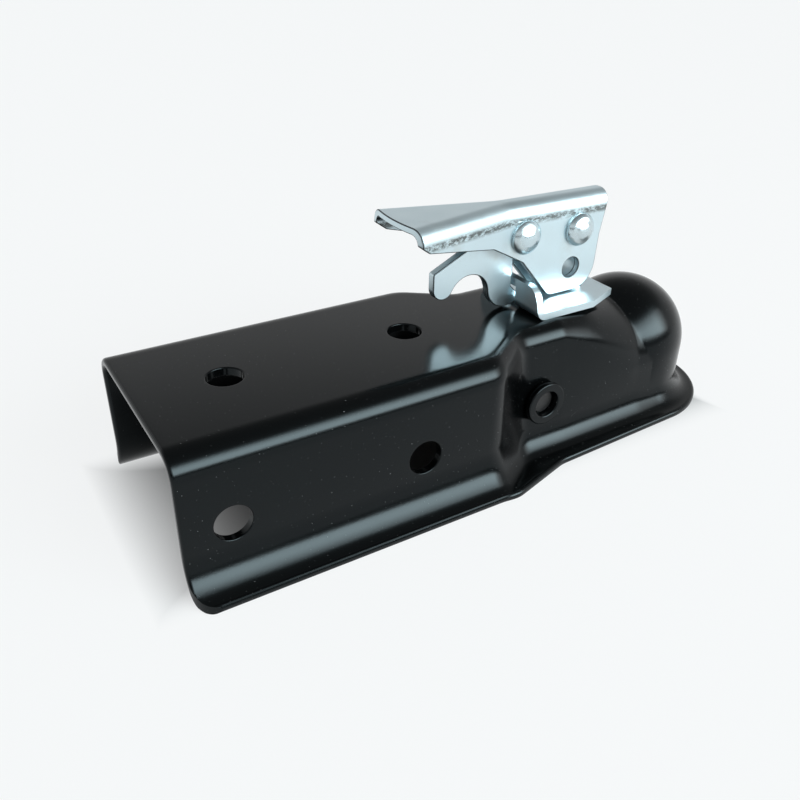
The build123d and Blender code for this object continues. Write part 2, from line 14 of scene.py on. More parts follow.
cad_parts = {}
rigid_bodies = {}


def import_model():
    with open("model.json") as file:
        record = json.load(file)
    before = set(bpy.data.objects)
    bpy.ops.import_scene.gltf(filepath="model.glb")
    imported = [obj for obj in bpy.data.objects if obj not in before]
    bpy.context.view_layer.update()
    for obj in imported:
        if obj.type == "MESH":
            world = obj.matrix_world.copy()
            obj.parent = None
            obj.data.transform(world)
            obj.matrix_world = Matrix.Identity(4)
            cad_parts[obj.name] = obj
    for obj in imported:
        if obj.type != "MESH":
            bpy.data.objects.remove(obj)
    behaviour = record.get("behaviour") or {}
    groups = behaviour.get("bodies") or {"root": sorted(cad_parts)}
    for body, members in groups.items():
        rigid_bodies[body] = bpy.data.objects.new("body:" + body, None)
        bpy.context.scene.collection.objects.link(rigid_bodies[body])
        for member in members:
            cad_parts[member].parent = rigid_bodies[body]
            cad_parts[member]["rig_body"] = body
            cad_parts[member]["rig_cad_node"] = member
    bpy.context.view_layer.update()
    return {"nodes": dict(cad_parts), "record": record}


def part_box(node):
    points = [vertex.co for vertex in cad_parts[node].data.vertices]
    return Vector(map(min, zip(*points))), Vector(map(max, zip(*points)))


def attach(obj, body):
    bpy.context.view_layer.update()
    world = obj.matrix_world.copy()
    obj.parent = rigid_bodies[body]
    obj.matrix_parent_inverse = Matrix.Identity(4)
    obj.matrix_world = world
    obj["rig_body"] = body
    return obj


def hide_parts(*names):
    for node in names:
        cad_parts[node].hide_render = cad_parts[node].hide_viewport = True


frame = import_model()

bl_info = {
    "name": "Trailer coupling head",
    "version": (1, 0, 0),
    "blender": (4, 5, 0),
    "location": "View3D > Sidebar > Coupling",
    "description": "Presses the housing, softens the plated pieces and gives every piece its finish",
    "category": "Object",
}

HOUSING_LOW, HOUSING_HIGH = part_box("housing")
MM = 0.001
NIL = 1e-7  # a length that counts as nothing
WELD = 1e-6  # vertices closer than this are one
SLACK = 0.1 * MM  # how far the pressed flange stays inside the solid one
PRESSED_SMOOTH = math.radians(22)  # angle up to which the pressing is shaded smooth
PLATED_SMOOTH = math.radians(32)  # the same for the softened copies
FLAT_WEIGHT = 60  # how strongly large flat faces bend the normals of the smooth ones
CUT_EDGE = math.radians(60)  # edges of the pressing that turn more than this were cut
SOLID_EDGE = math.radians(38)  # edges of a solid that turn more than this are rounded
PLAIN = math.radians(0.4)  # faces that differ less than this are one
PAINTED_EDGE_SHADE = "sheared"  # face attribute, 1 on the rounded edges of sheared pieces, where the plating paints a dark edge shade


def length(name, description, default):
    """A size in metres that the panel shows."""
    return FloatProperty(name=name, description=description, default=default, unit="LENGTH", precision=5)


def share(name, description, default):
    """A plain number between nothing and all."""
    return FloatProperty(name=name, description=description, default=default, min=0.0, max=1.0)


def span(name, description, default):
    """Where something begins and ends to change, as plain numbers or metres."""
    return FloatVectorProperty(name=name, description=description, default=default, size=2, precision=4)


def colour(name, description, default):
    """A linear colour."""
    return FloatVectorProperty(
        name=name, description=description, default=default, size=3, subtype="COLOR", min=0.0, max=1.0
    )


class CouplingHousingSizes(bpy.types.PropertyGroup):
    """Sizes of the pressed housing."""

    rear: length("Rear", "Where the channel ends at the back", HOUSING_LOW.x)
    base: length("Base", "Height of the flange's underside", HOUSING_LOW.z)
    top: length("Top", "Height of the channel's flat top", 29.9 * MM)
    sheet: length("Sheet", "Thickness of the pressed sheet", 3.4 * MM)
    channel_half: length("Channel half width", "From the middle to the channel's wall", 41.5 * MM)
    bend_radius: length("Bend radius", "Outside radius between the top and the walls", 9 * MM)
    jog_start: length("Jog start", "Where the channel begins to narrow", -101.5 * MM)
    jog_end: length("Jog end", "Where the neck begins", -81 * MM)
    jog_ease: share("Jog ease", "Share of the jog that is rounded at its ends", 0.4)
    neck_half: length("Neck half width", "From the middle to the foot of the neck's wall", 30.5 * MM)
    neck_draft: share("Neck draft", "How far the neck's wall leans in for its height", 0.11)
    neck_start: length("Neck taper start", "Where the neck begins to taper", -59 * MM)
    seat_end: length("Seat end", "Where the neck's flat top ends", -41 * MM)
    shoulder_start: length("Shoulder start", "Where the bend begins to grow rounder", -106 * MM)
    shoulder_x: length("Shoulder place", "Where the neck's own shoulder is reached", -59 * MM)
    neck_shoulder: length("Neck shoulder", "Shoulder radius of the neck", 9 * MM)
    seat_shoulder: length("Seat shoulder", "Shoulder radius at the end of the flat top", 18 * MM)
    arch_x: length("Arch place", "Where the neck is a round arch, beside the dome", -15 * MM)
    arch_shoulder: length("Arch shoulder", "Shoulder radius of that arch", 29.4 * MM)
    saddle_top: length("Saddle top", "Height of the neck's top at the ball's centre", 21.9 * MM)
    saddle_shoulder: length("Saddle shoulder", "Shoulder radius at the ball's centre", 28.9 * MM)
    crease_round: length("Crease rounding", "Softness of the crease between neck and dome", 0.9 * MM)
    dome_radius: length("Dome radius", "Outside radius of the ball dome", 29.4 * MM)
    flare_radius: length("Flare radius", "Upper radius between the channel's walls and the flange", 18 * MM)
    neck_flare: length("Neck flare", "Upper radius between the neck's walls and the flange", 13 * MM)
    nose_flare: length("Nose flare", "Upper radius between the dome and the flange", 10 * MM)
    flare_foot: length("Flare foot", "Lower radius of the flare, next to the flange", 6.5 * MM)
    flange_half: length("Flange half width", "From the middle to the flange's edge", HOUSING_HIGH.y - SLACK)
    flange_corner: length("Flange corner", "Radius of the flange's rear corners", 10 * MM)
    flange_jog_start: length("Flange jog start", "Where the flange begins to narrow", -96 * MM)
    flange_jog_end: length("Flange jog end", "Where the flange has narrowed", -67 * MM)
    flange_neck_half: length("Flange neck half width", "Flange's half width beside the neck", 43.3 * MM)
    nose_radius: length("Nose radius", "Radius of the flange round the dome", HOUSING_HIGH.x)
    rim_round: length("Rim rounding", "Rounding of the pressing's cut edges", 1.4 * MM)
    hole_radius: length("Bolt hole radius", "Radius of the tongue bolt holes", 6.75 * MM)
    hole_round: length("Bolt hole rounding", "Rounding of the bolt holes' edges", 0.5 * MM)
    top_hole: length("Top hole", "Place of the first bolt hole in the top", -193.5 * MM)
    side_hole: length("Side hole", "Place of the first bolt hole in the walls", -209.1 * MM)
    hole_spacing: length("Hole spacing", "Distance between a pair of bolt holes", 74 * MM)
    bush_hole: length("Bush hole", "Radius of the holes for the pin bushes", 7.35 * MM)
    bush_x: length("Bush place", "Where the cross pin stands", -70.5 * MM)
    bush_z: length("Bush height", "Height of the cross pin", -1 * MM)
    slot_x: length("Slot place", "Where the draw bolt goes through the neck", -40.4 * MM)
    slot_length: length("Slot length", "Length of the draw bolt's slot", 17 * MM)
    slot_width: length("Slot width", "Width of the draw bolt's slot", 8.5 * MM)


class CouplingPlatedSizes(bpy.types.PropertyGroup):
    """Sizes of the softened edges of the smaller pieces."""

    lever_edge: length("Lever edge", "Rounding of the lever's sheared edges", 0.4 * MM)
    plate_edge: length("Plate edge", "Rounding of the latch plate's edges", 0.4 * MM)
    trigger_edge: length("Trigger edge", "Rounding of the trigger's blanked edges", 0.4 * MM)
    rivet_head: length("Rivet head", "Diameter of the lever rivets' heads", 13.8 * MM)
    rivet_shank: length("Rivet shank", "Radius beyond which a rivet is head", 4.3 * MM)
    bush_rim: length("Bush rim", "Rounding of the pin bushes' rims", 0.8 * MM)


class CouplingColours(bpy.types.PropertyGroup):
    """Linear colours of the finishes and the floor."""

    paint: colour("Black paint", "The housing's gloss black paint", (0.001, 0.0012, 0.0013))
    gloss: colour("Paint gloss", "Tint of what the paint mirrors", (0.82, 0.95, 1.0))
    dust: colour("Dust", "Dust on the paint", (0.25, 0.25, 0.25))
    # The dark colour given to the cross pin's two ends.
    pin_paint: colour("Pin paint", "Paint on the cross pin's ends", (0.004, 0.004, 0.004))
    zinc: colour("Zinc", "Bright zinc plating", (0.6, 0.72, 0.765))
    # Colour of the dark specks in the plating and of the dark marks along the lever's fold.
    grit: colour("Grit", "Dirt in cracked plating", (0.05, 0.045, 0.035))
    # Painted shade: the dark of the plated pieces' rounded edges, which stands in for the dark those edges mirror.
    sheared: colour("Sheared edge", "Thin plating on sheared edges", (0.03, 0.033, 0.036))
    zinc_stain: colour("Zinc stain", "Duller, yellower places in the plating", (0.4, 0.4, 0.37))
    iron: colour("Cast iron", "The ball clamp's dark casting", (0.075, 0.072, 0.07))
    iron_grain: colour("Iron grain", "Lighter grains in the casting", (0.14, 0.13, 0.12))
    spring: colour("Spring steel", "Oiled spring wire", (0.22, 0.21, 0.2))
    spring_cloud: colour("Spring cloud", "Lighter places on the wire", (0.3, 0.28, 0.25))
    nylon: colour("Nylon", "The lock nut's ring", (0.78, 0.78, 0.74))
    nylon_cloud: colour("Nylon cloud", "Darker places in the nylon", (0.7, 0.69, 0.64))
    floor: colour("Floor", "The pale table", (0.97, 0.985, 0.99))
    # Painted shadow: the table's colour below the part.
    floor_dark: colour("Dark floor", "The table below the part", (0.1, 0.1, 0.1))
    backdrop: colour("Backdrop", "What the camera sees beyond the table", (0.96, 0.97, 0.98))
    gap: colour("Gap", "The dark gap below the window", (0.04, 0.04, 0.04))


class CouplingStage(bpy.types.PropertyGroup):
    """Camera, lights and floor."""

    camera: FloatVectorProperty(
        name="Camera", description="Place of the camera", size=3, subtype="TRANSLATION",
        default=(-0.27354, -0.24506, 0.17114),
    )
    aim: FloatVectorProperty(
        name="Aim", description="Direction of the camera's view", size=3, subtype="DIRECTION",
        default=(0.45405, 0.72892, -0.51236),
    )
    camera_up: FloatVectorProperty(
        name="Up", description="Direction of the picture's upper edge", size=3, subtype="DIRECTION",
        default=(0.25367, 0.44549, 0.85860),
    )
    lens: FloatProperty(name="Lens", description="Focal length in millimetres", default=36.855)
    key_turn: FloatProperty(
        name="Key turn", description="Bearing of the lamp and its window", default=math.radians(-66), subtype="ANGLE"
    )
    key_lift: FloatProperty(
        name="Key lift", description="Height of the lamp and its window", default=math.radians(26), subtype="ANGLE"
    )
    key_reach: length("Key reach", "Distance of the lamp", 0.9)
    key_width: length("Key width", "Width of the lamp", 1.2)
    key_height: length("Key height", "Height of the lamp", 0.56)
    key_power: FloatProperty(name="Key power", description="Power of the lamp", default=4.0, subtype="POWER")
    window_glow: FloatProperty(name="Window glow", description="Brightness of the window's middle", default=12)
    window_tint: colour("Window tint", "Colour of the window's light", (0.84, 0.97, 1.0))
    window_side: span("Window side", "Where the window fades sideways, from its middle", (0.24, 0.56))
    window_sill: span("Window sill", "Where the window begins at the bottom", (-0.27, -0.2))
    window_head: span("Window head", "Where the window fades at the top", (-0.04, 0.45))
    window_front: span("Window front", "Keeps the window on the lamp's side of the room", (0.0, 0.1))
    gap_way: FloatVectorProperty(
        name="Gap way", description="Direction of the dark gap below the window", size=3, subtype="DIRECTION",
        default=(-0.17, -0.985, 0.0),
    )
    gap_side: span("Gap side", "Where the dark gap below the window begins sideways", (0.2, 0.5))
    gap_head: span("Gap head", "Where the dark gap below the window ends upwards", (0.1, 0.2))
    floor_size: length("Floor size", "Length of the table's sides", 12)
    floor_gap: length("Floor gap", "How far the table lies below the part", 0.02 * MM)
    floor_glow: share("Floor glow", "Share of the floor's white that carries no shadow", 0.86)
    floor_matt: share("Floor matt", "Share of the floor's white that takes light and shadow", 0.62)
    floor_near: span("Floor near side", "Where the floor below the part grows light, to the right", (-0.018, -0.05))
    floor_far: span("Floor far side", "Where the floor below the part grows light, to the left", (0.026, 0.06))
    floor_front: span("Floor front", "Where the floor below the part grows light, at the nose", (0.02, 0.03))
    floor_mouth: span("Floor mouth", "Where the floor below the part grows light, at the rear", (-0.165, -0.24))
    mouth_power: FloatProperty(name="Mouth power", description="How late the floor grows light at the rear", default=3)


# Modelling helpers


def only(*objects):
    """Selects these objects alone, the first one active."""
    bpy.ops.object.select_all(action="DESELECT")
    for each in objects:
        each.select_set(True)
    bpy.context.view_layer.objects.active = objects[0]


def named(name):
    """Names the object that was just added, and its mesh."""
    piece = bpy.context.object
    piece.name = name
    piece.data.name = name
    return piece


def edit(piece, *steps):
    """Runs steps in edit mode, the first of them with everything selected."""
    only(piece)
    bpy.ops.object.mode_set(mode="EDIT")
    bpy.ops.mesh.select_all(action="SELECT")
    for step in steps:
        step()
    bpy.ops.object.mode_set(mode="OBJECT")


def pick(kind, test):
    """Selects the vertices whose place passes a test, or the edges with both ends passing it."""
    mesh = bmesh.from_edit_mesh(bpy.context.edit_object.data)
    bpy.ops.mesh.select_all(action="DESELECT")
    bpy.ops.mesh.select_mode(type=kind)
    chosen = 0
    for part in mesh.verts if kind == "VERT" else mesh.edges:
        ends = [part] if kind == "VERT" else part.verts
        if all(test(end.co) for end in ends):
            part.select_set(True)
            chosen += 1
    mesh.select_flush_mode()
    bmesh.update_edit_mesh(bpy.context.edit_object.data)
    if not chosen:
        raise RuntimeError("nothing to select on " + bpy.context.edit_object.name)


def weld():
    """Merges doubles and turns the faces outwards."""
    bpy.ops.mesh.select_all(action="SELECT")
    bpy.ops.mesh.remove_doubles(threshold=WELD)
    bpy.ops.mesh.normals_make_consistent(inside=False)


def shaped(piece, kind, **settings):
    """Adds a modifier to the piece and applies it."""
    only(piece)
    modifier = piece.modifiers.new(kind.title(), kind)
    for setting, value in settings.items():
        setattr(modifier, setting, value)
    bpy.ops.object.modifier_apply(modifier=modifier.name)


def settled(piece):
    """Puts the piece's place, turn and scale into its mesh."""
    only(piece)
    bpy.ops.object.transform_apply(location=True, rotation=True, scale=True)


def smooth(piece, angle):
    """Shades the piece smooth up to an angle, with flat faces kept flat."""
    only(piece)
    bpy.ops.object.shade_smooth_by_angle(angle=angle)
    shaped(piece, "WEIGHTED_NORMAL", keep_sharp=True, weight=FLAT_WEIGHT)


def dressed(piece, body, slot, *nodes):
    """Lets the piece ride on its body in place of its solids, with the slot's finish."""
    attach(piece, body)
    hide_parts(*nodes)
    piece.data.materials.clear()
    piece.data.materials.append(FINISHES[OWN_FINISH.get(nodes[0], slot)])
    for face in piece.data.polygons:
        face.material_index = 0


def turned(name, profile, place, axis, segments=64):
    """A solid turned from (along, radius) steps, starting at a place and pointing along an axis."""
    bpy.ops.object.select_all(action="DESELECT")
    start, radius = profile[0]
    bpy.ops.mesh.primitive_circle_add(vertices=segments, radius=radius, fill_type="NGON", location=(0, 0, 0))
    piece = named(name)

    def raise_steps():
        at, size = profile[0]
        for along, wide in profile[1:]:
            bpy.ops.mesh.extrude_region_move(TRANSFORM_OT_translate={"value": (0, 0, along - at)})
            if wide != size:
                bpy.ops.transform.resize(value=(wide / size, wide / size, 1))
            at, size = along, wide

    edit(piece, raise_steps, weld)
    piece.rotation_euler = Vector(axis).to_track_quat("Z", "Y").to_euler()
    piece.location = Vector(place) + start * Vector(axis)
    settled(piece)
    return piece


def cut(piece, tools):
    """Takes the tools out of the piece, and removes them."""
    only(*tools)
    if len(tools) > 1:
        bpy.ops.object.join()
    tool = bpy.context.object
    shaped(piece, "BOOLEAN", operation="DIFFERENCE", object=tool, solver="EXACT")
    bpy.data.objects.remove(tool)


# Housing


def ramp(t):
    """Running sum of a rise from nothing at 0 to full at 1."""
    if t <= 0:
        return 0.0
    return t * t / 2 if t < 1 else t - 0.5


def eased(t, ease):
    """A straight rise from 0 to 1, rounded at both ends over a share of its length."""
    return (ramp(t + ease / 2) - ramp(t - ease / 2)) / ease


class PressedForm:
    """Outer face of the housing's pressing, section by section."""

    flat_rows = 16  # rows of the top, from its middle
    bend_rows = 36  # rows of the bend
    side_rows = 8  # rows from there down to the ball's centre
    bend_low = math.radians(38)  # leans between which the bend's rows lie
    bend_high = math.radians(72)
    wall_rows = 6  # rows of the wall below the ball's centre
    skirt_rows = 15  # rows of the flare and the flange
    channel_columns = 26
    jog_columns = 61
    neck_columns = 12
    arch_columns = 30  # columns from the end of the seat to the crease
    dome_columns = 20  # columns from the crease to the ball's centre
    nose_columns = 72  # columns round the nose
    jog_lead = 20 * MM  # how far before the jog its columns begin
    crease_halvings = 40  # steps of the search for the crease
    skirt_crowding = 1.5  # power that crowds the skirt's rows at its top
    crease_crowding = 1.7  # power that crowds the columns at the crease
    crease_rest = -6 * MM  # where the crease's column runs out, down the wall
    crease_turn = (math.radians(66), math.radians(90))  # leans over which it goes there
    crease_soft = (math.radians(60), math.radians(75))  # leans over which the crease's rounding ends
    crease_end = 8 * MM  # distance from the ball's centre over which it ends, too
    nose_blend = 14 * MM  # length over which the flare grows tight towards the nose
    flare_break = math.radians(50)  # turn at which the flare's upper radius gives way to its foot
    taper_power = 1.3  # how late the neck tapers
    jog_blend = 0.3  # rounded share of what changes along the jog
    roof_ease = 0.2  # rounded share of the neck's slope
    flange_ease = 0.14  # rounded share of the flange's jog

    def __init__(self, sizes):
        self.s = sizes
        self.polar_rows = self.flat_rows + self.bend_rows + self.side_rows
        self.rows = self.polar_rows + self.wall_rows + self.skirt_rows
        self.creases = [self.find_crease(self.lean(j)) for j in range(self.polar_rows + 1)]
        self.runs = self.station_runs()
        self.columns = sum(steps for _, _, steps in self.runs)

    def half_width(self, x):
        """From the middle to the foot of the wall."""
        s = self.s
        jog = eased((x - s.jog_start) / (s.jog_end - s.jog_start), s.jog_ease)
        wide = s.channel_half + (s.neck_half - s.channel_half) * jog
        left = min(1.0, max(0.0, x / s.neck_start))
        return wide + (s.dome_radius - s.neck_half) * (1 - left**self.taper_power)

    def roof(self, x):
        """Height of the top."""
        s = self.s
        return s.top + (s.saddle_top - s.top) * eased(1 - x / s.seat_end, self.roof_ease)

    def shoulder(self, x):
        """Radius between the top and the wall."""
        s = self.s
        stops = (
            (s.shoulder_start, s.bend_radius),
            (s.shoulder_x, s.neck_shoulder),
            (s.seat_end, s.seat_shoulder),
            (s.arch_x, s.arch_shoulder),
            (0.0, s.saddle_shoulder),
        )
        if x <= stops[0][0]:
            return stops[0][1]
        for (start, low), (end, high) in zip(stops, stops[1:]):
            if x <= end:
                return low + (high - low) * (x - start) / (end - start)
        return stops[-1][1]

    def rim(self, x):
        """The flange's half width."""
        s = self.s
        jog = eased((x - s.flange_jog_start) / (s.flange_jog_end - s.flange_jog_start), self.flange_ease)
        wide = s.flange_half + (s.flange_neck_half - s.flange_half) * jog
        forward = min(1.0, max(0.0, 1 - x / s.flange_jog_end))
        wide += (s.nose_radius - s.flange_neck_half) * forward
        return wide

    def past_jog(self, x):
        """0 along the channel, 1 along the neck."""
        s = self.s
        return eased((x - s.jog_start) / (s.jog_end - s.jog_start), self.jog_blend)

    def flare(self, x):
        """Upper radius between wall and flange: smaller along the neck and tight round the nose."""
        s = self.s
        neck = self.past_jog(x)
        nose = 1 - eased(-x / self.nose_blend, self.jog_blend)
        along = s.flare_radius + (s.neck_flare - s.flare_radius) * neck
        return along + (s.nose_flare - along) * nose

    def flare_drop(self, x):
        """Height of the flare above the flange."""
        upper = math.sin(self.flare_break)
        return self.flare(x) * upper + self.s.flare_foot * (1 - upper)

    def draft(self, x):
        """How far the wall leans in for its height, along the neck."""
        s = self.s
        arch = eased((x - s.neck_start) / (s.arch_x - s.neck_start), self.jog_blend)
        return s.neck_draft * self.past_jog(x) * (1 - arch)

    def waist(self, x):
        """Half width at the height of the ball's centre."""
        foot = self.s.base + self.s.sheet + self.flare_drop(x)
        return self.half_width(x) + self.draft(x) * foot

    def neck_reach(self, x, lean):
        """Distance from the axis to the rounded channel or neck, at a lean from upright."""
        side, up = math.sin(lean), math.cos(lean)
        wide, high, round_ = self.waist(x), self.roof(x), self.shoulder(x)
        tilt = math.atan(self.draft(x))
        rise = high - round_
        out = wide - round_ / math.cos(tilt) - rise * math.tan(tilt)
        if high * side <= out * up:
            return high / up
        wall = wide / (side + math.tan(tilt) * up)
        if wall * up <= rise + round_ * math.sin(tilt):
            return wall
        middle = out * side + rise * up
        return middle + math.sqrt(max(0.0, middle**2 - out**2 - rise**2 + round_**2))

    def dome_reach(self, x):
        """Distance from the axis to the dome."""
        return math.sqrt(max(0.0, self.s.dome_radius**2 - x * x))

    def find_crease(self, lean):
        """Where the dome comes out of the neck, at a lean from upright."""
        low, high = self.s.seat_end, 0.0
        for _ in range(self.crease_halvings):
            middle = (low + high) / 2
            if self.dome_reach(middle) > self.neck_reach(middle, lean):
                high = middle
            else:
                low = middle
        return high

    def lean(self, row):
        """Lean from upright of a row above the ball's centre."""
        if row <= self.flat_rows:
            return self.bend_low * row / self.flat_rows
        row -= self.flat_rows
        if row <= self.bend_rows:
            return self.bend_low + (self.bend_high - self.bend_low) * row / self.bend_rows
        row -= self.bend_rows
        return self.bend_high + (math.pi / 2 - self.bend_high) * row / self.side_rows

    def station_runs(self):
        """Start, end and columns of each run along the housing, with None for the crease."""
        s = self.s
        lead = s.jog_start - self.jog_lead
        return [
            (s.rear, lead, self.channel_columns),
            (lead, s.neck_start, self.jog_columns),
            (s.neck_start, s.seat_end, self.neck_columns),
            (s.seat_end, None, self.arch_columns),
            (None, 0.0, self.dome_columns),
        ]

    def station(self, column, row):
        """Place along the housing of a column of the blank, bent so that one column lies on the crease."""
        at = min(row, self.polar_rows)
        crease = self.creases[at]
        start, end = self.crease_turn
        fade = min(1.0, max(0.0, (self.lean(at) - start) / (end - start)))
        crease += (self.crease_rest - crease) * fade
        for start, end, steps in self.runs:
            if column > steps:
                column -= steps
                continue
            part = column / steps
            if end is None:
                return start + (crease - start) * (1 - (1 - part) ** self.crease_crowding)
            if start is None:
                return crease + (end - crease) * part**self.crease_crowding
            return start + (end - start) * part
        raise ValueError("the blank has more columns than stations")

    def point(self, column, row):
        """A point of the right half of the outer face, the row counted from the middle of the top."""
        s = self.s
        x = self.station(column, row)
        if row <= self.polar_rows:
            lean = self.lean(row)
            neck, dome = self.neck_reach(x, lean), self.dome_reach(x)
            start, end = self.crease_soft
            soft = min(1.0, -x / self.crease_end) * min(1.0, max(0.0, (end - lean) / (end - start)))
            reach = (neck + dome + math.hypot(neck - dome, s.crease_round * soft)) / 2
            return x, reach * math.sin(lean), reach * math.cos(lean)
        row -= self.polar_rows
        wide = self.half_width(x)
        flare = self.flare(x)
        foot = s.base + s.sheet + self.flare_drop(x)
        if row <= self.wall_rows:
            down = row / self.wall_rows
            high = max(self.neck_reach(x, math.pi / 2), self.dome_reach(x))
            return x, high + (wide - high) * down, foot * down
        row -= self.wall_rows
        turn, end = self.flare_break, math.pi / 2
        out = flare * (1 - math.cos(turn)) + s.flare_foot * math.cos(turn)
        flat = self.rim(x) - wide - out
        arcs = flare * turn + s.flare_foot * (end - turn)
        along = (row / self.skirt_rows) ** self.skirt_crowding * (arcs + flat)
        first = min(turn, along / flare)
        second = min(end, max(turn, turn + (along - flare * turn) / s.flare_foot))
        out = flare * (1 - math.cos(first)) + s.flare_foot * (math.cos(turn) - math.cos(second))
        down = flare * math.sin(first) + s.flare_foot * (math.sin(second) - math.sin(turn))
        return x, wide + out + max(0.0, along - arcs), foot - down


def hole_profile(sizes, faces):
    """Steps of a punch that rounds the edges of a hole at each pair of sheet faces along it."""
    radius, edge = sizes.hole_radius, sizes.hole_round
    overshoot, parts = 4 * MM, 6  # length of the punch past the sheet, and parts of a rounded edge
    turns = [math.radians(90 / parts * k) for k in range(parts + 1)]
    steps = [(faces[0][0] - overshoot, radius + edge)]
    for near, far in faces:
        steps += [(near + edge * (1 - math.cos(a)), radius + edge * (1 - math.sin(a))) for a in turns]
        steps += [(far - edge * (1 - math.cos(a)), radius + edge * (1 - math.sin(a))) for a in reversed(turns)]
    steps.append((faces[-1][1] + overshoot, radius + edge))
    return steps


class COUPLING_OT_housing(bpy.types.Operator):
    """Press a flat blank into the channel, neck and flange, spin the nose, give it thickness and punch its holes"""

    bl_idname = "coupling.housing"
    bl_label = "Housing"

    def execute(self, context):
        sizes = context.scene.coupling_housing
        form = PressedForm(sizes)
        bpy.ops.object.select_all(action="DESELECT")
        bpy.ops.mesh.primitive_grid_add(
            x_subdivisions=form.columns, y_subdivisions=2 * form.rows, size=2, location=(0, 0, 0)
        )
        shell = named("pressed_housing")
        for vertex in shell.data.vertices:
            column = round((vertex.co.x + 1) / 2 * form.columns)
            row = round(vertex.co.y * form.rows)
            x, y, z = form.point(column, abs(row))
            vertex.co = (x, math.copysign(y, row) if row else 0.0, z)

        def spin_nose():
            pick("EDGE", lambda at: abs(at.x) < NIL and at.y > -NIL)
            bpy.ops.mesh.spin(steps=form.nose_columns, angle=math.pi, center=(0, 0, 0), axis=(0, 0, 1))

        edit(shell, spin_nose, weld)
        highest = max(shell.data.polygons, key=lambda face: face.center.z)
        if highest.normal.z < 0:
            edit(shell, bpy.ops.mesh.flip_normals)
        shaped(shell, "SOLIDIFY", thickness=sizes.sheet, offset=-1, use_even_offset=True, use_quality_normals=True)
        self.rounded(shell, sizes)
        cut(shell, self.corners(sizes))
        self.rounded(shell, sizes)
        cut(shell, self.punches(sizes))
        edit(shell, weld)
        smooth(shell, PRESSED_SMOOTH)
        dressed(shell, "housing", "black_paint", "housing")
        return {"FINISHED"}

    def rounded(self, shell, sizes):
        """Round the cut edges that are still sharp."""
        shaped(
            shell, "BEVEL", width=sizes.rim_round, segments=4, limit_method="ANGLE",
            angle_limit=CUT_EDGE, use_clamp_overlap=True,
        )

    def corners(self, sizes):
        """Blocks that leave the flange's rear corners round."""
        made = []
        radius = sizes.flange_corner
        for side in (-1, 1):
            corner = (sizes.rear, side * sizes.flange_half, sizes.base + radius / 2)
            bpy.ops.object.select_all(action="DESELECT")
            bpy.ops.mesh.primitive_cube_add(size=2 * radius, location=corner)
            block = named("corner_block")
            settled(block)
            middle = (sizes.rear + radius, side * (sizes.flange_half - radius), sizes.base)
            steps = [(-2 * radius, radius), (2 * radius, radius)]
            cut(block, [turned("corner_round", steps, middle, (0, 0, 1))])
            made.append(block)
        return made

    def punches(self, sizes):
        """Punches for the bolt holes, the pin bushes and the draw bolt's slot."""
        inner = sizes.channel_half - sizes.sheet
        made = []
        for step in range(2):
            along = step * sizes.hole_spacing
            roof = hole_profile(sizes, [(sizes.top - sizes.sheet, sizes.top)])
            made.append(turned("roof_punch", roof, (sizes.top_hole + along, 0, 0), (0, 0, 1)))
            walls = hole_profile(sizes, [(-sizes.channel_half, -inner), (inner, sizes.channel_half)])
            made.append(turned("wall_punch", walls, (sizes.side_hole + along, 0, 0), (0, 1, 0)))
        bush = [(-sizes.channel_half, sizes.bush_hole), (sizes.channel_half, sizes.bush_hole)]
        made.append(turned("bush_punch", bush, (sizes.bush_x, 0, sizes.bush_z), (0, 1, 0)))
        bpy.ops.object.select_all(action="DESELECT")
        bpy.ops.mesh.primitive_cube_add(size=1, location=(sizes.slot_x, 0, sizes.top))
        slot = named("slot_punch")
        slot.scale = (sizes.slot_length, sizes.slot_width, 5 * sizes.sheet)
        settled(slot)
        return made + [slot]


# Plated pieces


def copied(node, name):
    """A copy of a solid, free of the solid's marks."""
    only(frame["nodes"][node])
    bpy.ops.object.duplicate(linked=False)
    piece = named(name)
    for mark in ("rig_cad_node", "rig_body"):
        del piece[mark]
    return piece


def softened(node, name, edge, body, slot, clamped=False):
    """A copy of a solid with its sharp edges rounded and marked for painted edge shade, riding in the solid's place.
    """
    piece = copied(node, name)

    def plain_faces():
        bpy.ops.mesh.remove_doubles(threshold=WELD)
        bpy.ops.mesh.dissolve_limited(angle_limit=PLAIN)

    edit(piece, plain_faces)
    # The rounding gets the second of two like materials, which tells its faces from the others.
    piece.data.materials.clear()
    for _ in range(2):
        piece.data.materials.append(FINISHES[slot])
    shaped(
        piece, "BEVEL", width=edge, segments=3, limit_method="ANGLE",
        angle_limit=SOLID_EDGE, use_clamp_overlap=clamped, material=1,
    )
    # These rounded faces are marked, and the plating paints them dark as painted edge shade.
    sheared = piece.data.attributes.new(PAINTED_EDGE_SHADE, "FLOAT", "FACE")
    for face in piece.data.polygons:
        sheared.data[face.index].value = face.material_index
    smooth(piece, PLATED_SMOOTH)
    dressed(piece, body, slot, node)


class COUPLING_OT_plated(bpy.types.Operator):
    """Copy the lever, the latch plate and the trigger with their sheared edges rounded"""

    bl_idname = "coupling.plated"
    bl_label = "Lever, latch plate and trigger"

    def execute(self, context):
        sizes = context.scene.coupling_plated
        softened("lever", "plated_lever", sizes.lever_edge, "lever", "zinc")
        softened("latch_plate", "plated_latch", sizes.plate_edge, "housing", "zinc", clamped=True)
        softened("trigger", "plated_trigger", sizes.trigger_edge, "trigger", "zinc")
        return {"FINISHED"}


